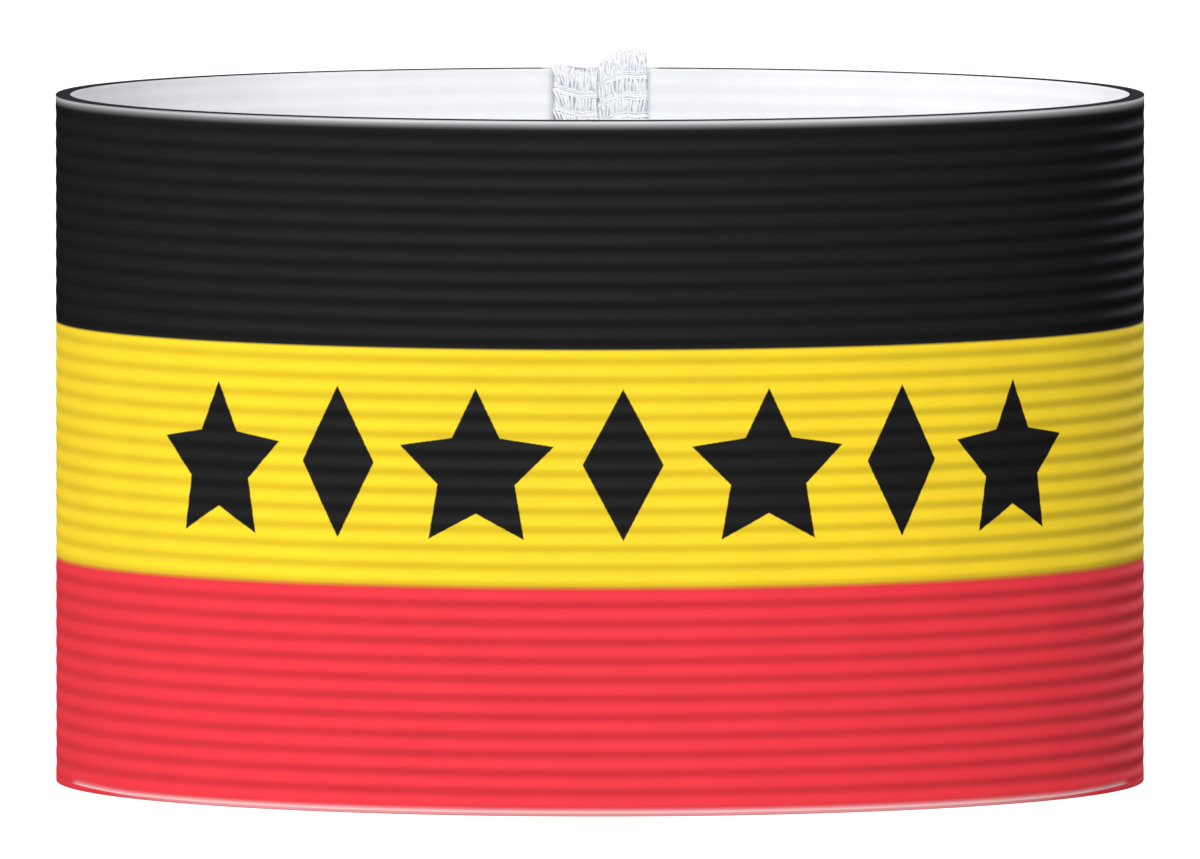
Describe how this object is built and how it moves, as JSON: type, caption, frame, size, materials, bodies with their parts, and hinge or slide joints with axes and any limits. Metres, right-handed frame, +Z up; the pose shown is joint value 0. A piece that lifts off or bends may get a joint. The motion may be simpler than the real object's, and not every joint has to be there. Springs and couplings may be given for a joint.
{
  "type": "captain armband",
  "caption": "Ribbed elastic armband in three horizontal stripes, closed to a round loop with an overlocked seam at the back.",
  "frame": {"origin": "centre of the loop at its lower edge, on the surface it stands on", "axes": "+Z up along the loop's axis, the printed front towards -Y, the seam towards +Y"},
  "size_m": [0.095, 0.095, 0.0614],
  "materials": {
    "striped_elastic": "ribbed woven elastic in black, yellow and red stripes, with a white inner face and a printed row of black motifs",
    "overlocked_end": "white cloth end covered by overlock thread"
  },
  "bodies": {
    "root": {"elastic_band": "striped_elastic", "seam_allowance_left": "overlocked_end", "seam_allowance_right": "overlocked_end"}
  },
  "joints": []
}
